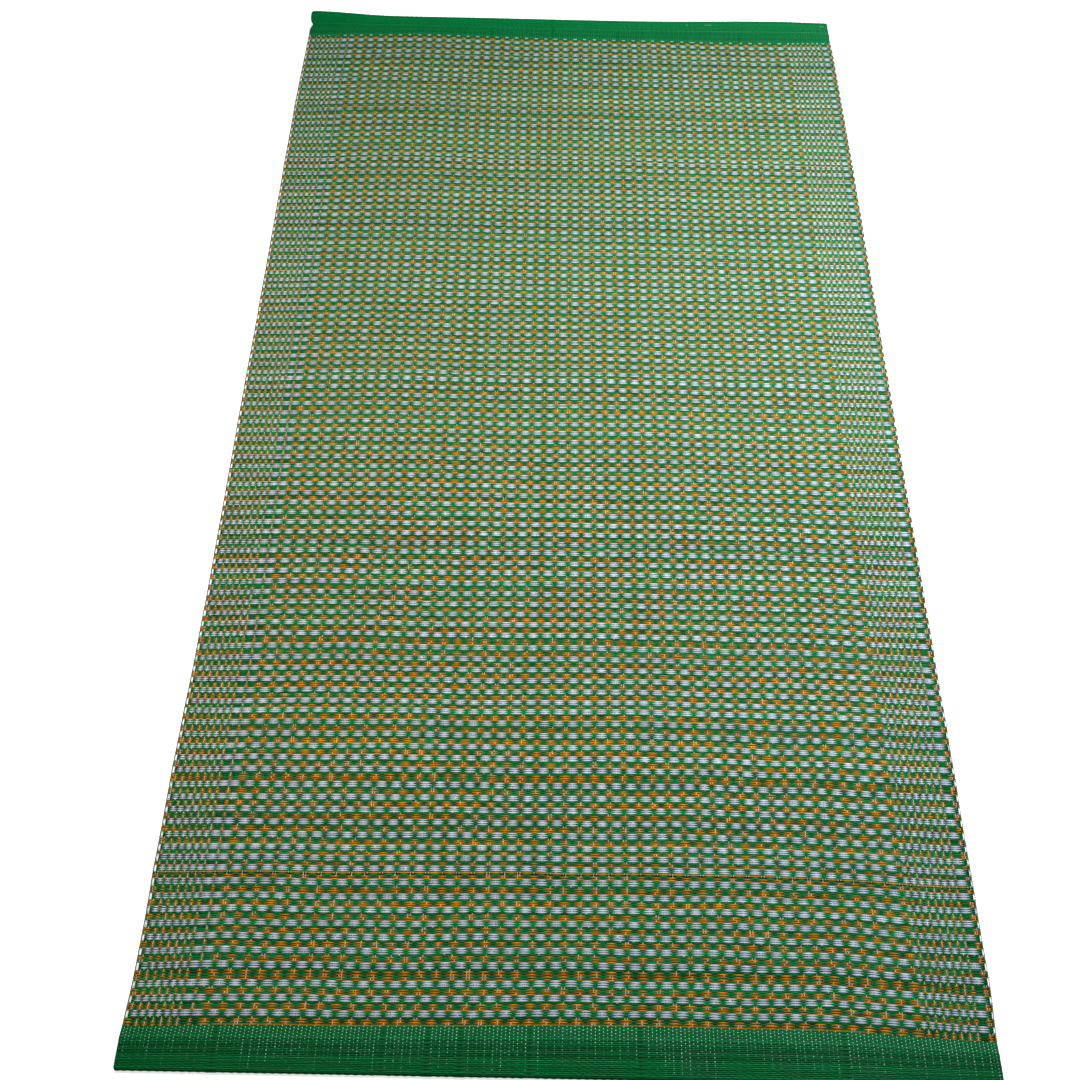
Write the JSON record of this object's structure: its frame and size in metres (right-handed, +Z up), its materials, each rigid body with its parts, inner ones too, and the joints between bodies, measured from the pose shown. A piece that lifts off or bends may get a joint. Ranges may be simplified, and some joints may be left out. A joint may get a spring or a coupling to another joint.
{
  "type": "plastic floor mat",
  "caption": "Oblong floor mat woven of flat-lying plastic straws, with a check of green, white and orange blocks and plain stitched hems at both ends.",
  "frame": {"origin": "middle of the mat's underside, on the floor", "axes": "+X across the mat along its straws, +Y along the mat to the end with the curled corner, +Z up"},
  "size_m": [0.914, 1.8293, 0.0118],
  "materials": {
    "straw": "half-gloss plastic straws",
    "straw_green": "half-gloss green plastic straws",
    "straw_white": "half-gloss white plastic straws",
    "straw_orange": "half-gloss orange plastic straws",
    "warp_thread": "pale translucent plastic thread"
  },
  "bodies": {
    "root": {"mat": "straw"}
  },
  "joints": []
}
